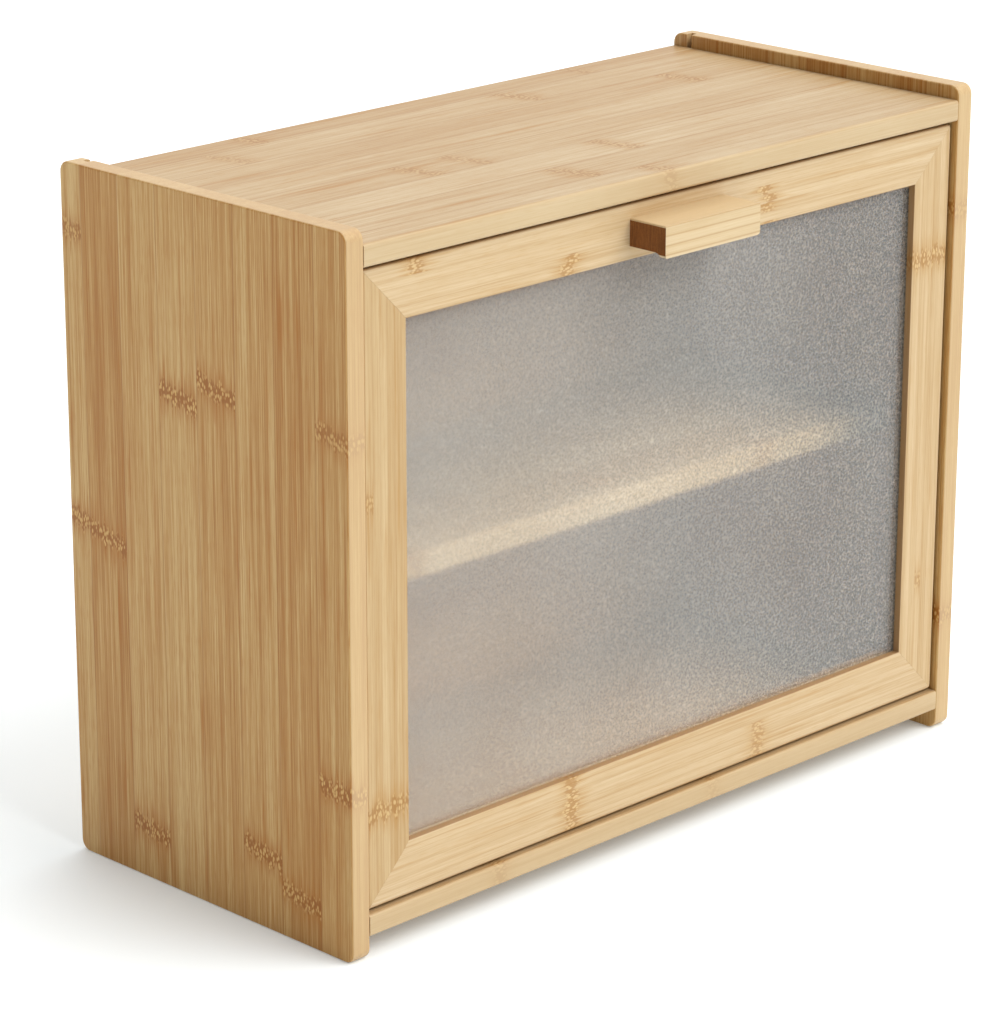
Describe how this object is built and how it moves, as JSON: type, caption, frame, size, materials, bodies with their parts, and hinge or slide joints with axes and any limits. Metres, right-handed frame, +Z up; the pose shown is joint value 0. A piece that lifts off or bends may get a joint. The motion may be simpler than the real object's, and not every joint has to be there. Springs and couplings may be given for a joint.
{
  "type": "bread box with drop-front door",
  "caption": "Bamboo bread box: a low case with side lips and feet, an inner shelf, and a framed frosted door with a block handle that swings down at the front.",
  "frame": {"origin": "on the counter, at the centre of the footprint with the handle counted in", "axes": "+X to the right seen from the front, -Y towards the front (door side), +Z up"},
  "size_m": [0.4, 0.1984, 0.32],
  "materials": {
    "bamboo_board": "clear satin lacquer on laminated bamboo",
    "bamboo_frame": "clear satin lacquer on bamboo strip",
    "bamboo_sheet": "clear satin lacquer on thin bamboo ply",
    "dowel_wood": "raw beech",
    "frosted_pane": "pebbled and frosted",
    "plated_steel": "zinc plated",
    "magnet_nickel": "nickel plated"
  },
  "bodies": {
    "carcass": {"left_side_panel": "bamboo_board", "right_side_panel": "bamboo_board", "top_panel": "bamboo_board", "bottom_panel": "bamboo_board", "back_panel": "bamboo_sheet", "top_left_dowels": "dowel_wood", "top_right_dowels": "dowel_wood", "bottom_left_dowels": "dowel_wood", "bottom_right_dowels": "dowel_wood", "shelf_supports": "plated_steel", "stop_cleat": "bamboo_board", "cleat_screws": "plated_steel", "left_magnet": "magnet_nickel", "right_magnet": "magnet_nickel"},
    "door": {"door_top_rail": "bamboo_frame", "door_bottom_rail": "bamboo_frame", "door_left_stile": "bamboo_frame", "door_right_stile": "bamboo_frame", "mitre_splines": "dowel_wood", "door_pane": "frosted_pane", "door_handle": "bamboo_frame", "handle_screws": "plated_steel", "left_strike_plate": "plated_steel", "right_strike_plate": "plated_steel", "strike_screws": "plated_steel", "left_hinge_pin": "plated_steel", "right_hinge_pin": "plated_steel"},
    "shelf": {"shelf": "bamboo_board"}
  },
  "joints": [
    {"name": "door_hinge", "type": "hinge", "parent": "carcass", "child": "door", "pos_m": [0, -0.07496, 0.02419], "axis": [1, 0, 0], "range_deg": [0, 89]},
    {"name": "shelf_lift", "type": "slide", "parent": "carcass", "child": "shelf", "axis": [0, 0, 1], "range_m": [0, 0.14]}
  ]
}
